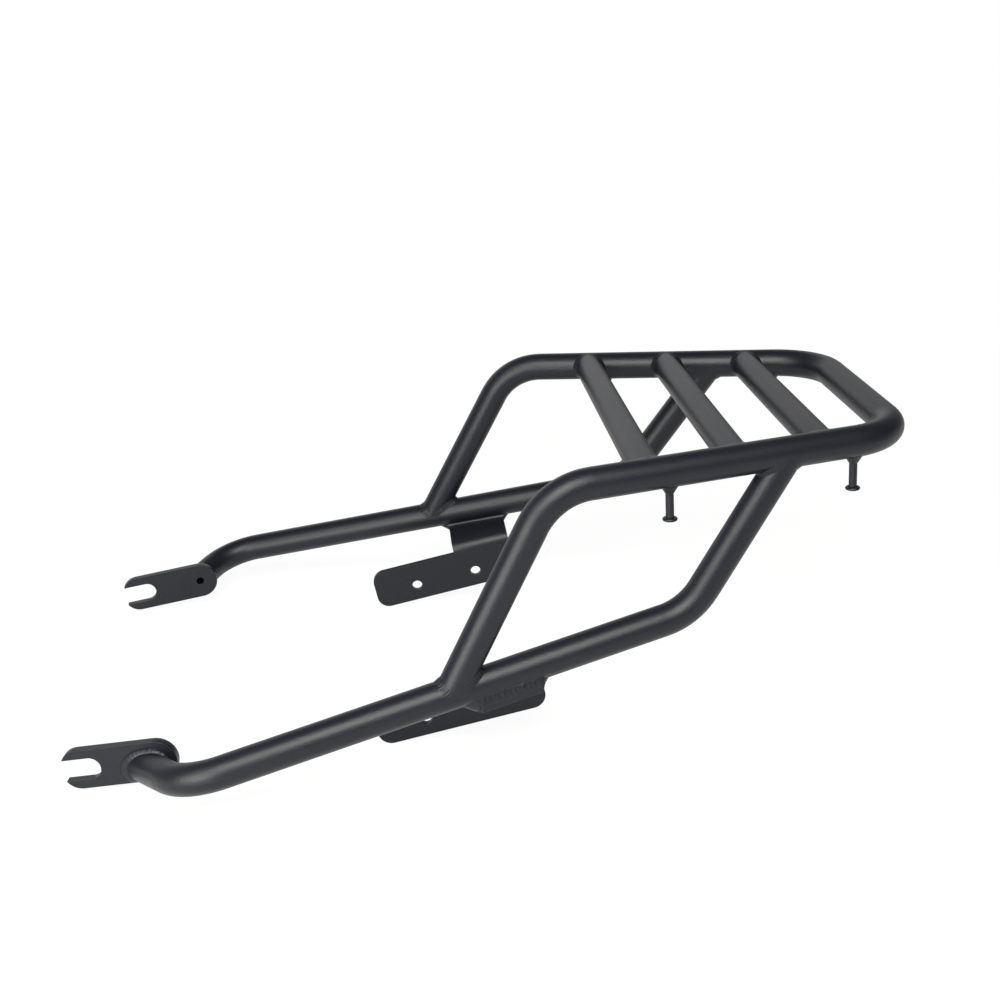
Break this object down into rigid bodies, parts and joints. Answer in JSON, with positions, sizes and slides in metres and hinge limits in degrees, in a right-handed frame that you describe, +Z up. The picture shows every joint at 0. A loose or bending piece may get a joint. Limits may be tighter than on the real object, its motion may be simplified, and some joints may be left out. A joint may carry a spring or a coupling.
{
  "type": "motorcycle luggage rack",
  "caption": "Welded tube luggage rack for a motorcycle tail: bent platform hoop with crossbars, sloping side rails, slotted fork tabs, bolted side brackets and strap pegs.",
  "frame": {"origin": "under the middle of the rack, at the height of its lowest point, which is the lower edge of the side brackets", "axes": "+X to the rear of the bike, +Y to its right, +Z up, with the load platform level"},
  "size_m": [0.6056, 0.43, 0.2041],
  "materials": {
    "tube_coat": "semi-gloss black powder coat",
    "plate_coat": "semi-gloss black powder coat",
    "peg_coat": "semi-gloss black powder coat",
    "weld_coat": "semi-gloss black powder coat over rippled weld"
  },
  "bodies": {
    "root": {"hoop_tube": "tube_coat", "left_rail": "tube_coat", "right_rail": "tube_coat", "front_crossbar": "tube_coat", "middle_crossbar": "tube_coat", "rear_crossbar": "tube_coat", "left_fork_tab": "plate_coat", "right_fork_tab": "plate_coat", "left_side_bracket": "plate_coat", "right_side_bracket": "plate_coat", "left_front_peg": "peg_coat", "right_front_peg": "peg_coat", "left_rear_peg": "peg_coat", "right_rear_peg": "peg_coat", "left_leg_weld": "weld_coat", "right_leg_weld": "weld_coat", "left_riser_weld": "weld_coat", "right_riser_weld": "weld_coat", "left_front_bar_weld": "weld_coat", "right_front_bar_weld": "weld_coat", "left_middle_bar_weld": "weld_coat", "right_middle_bar_weld": "weld_coat", "left_rear_bar_weld": "weld_coat", "right_rear_bar_weld": "weld_coat", "left_fork_weld": "weld_coat", "right_fork_weld": "weld_coat", "left_bracket_weld": "weld_coat", "right_bracket_weld": "weld_coat", "left_front_peg_weld": "weld_coat", "right_front_peg_weld": "weld_coat", "left_rear_peg_weld": "weld_coat", "right_rear_peg_weld": "weld_coat"}
  },
  "joints": []
}
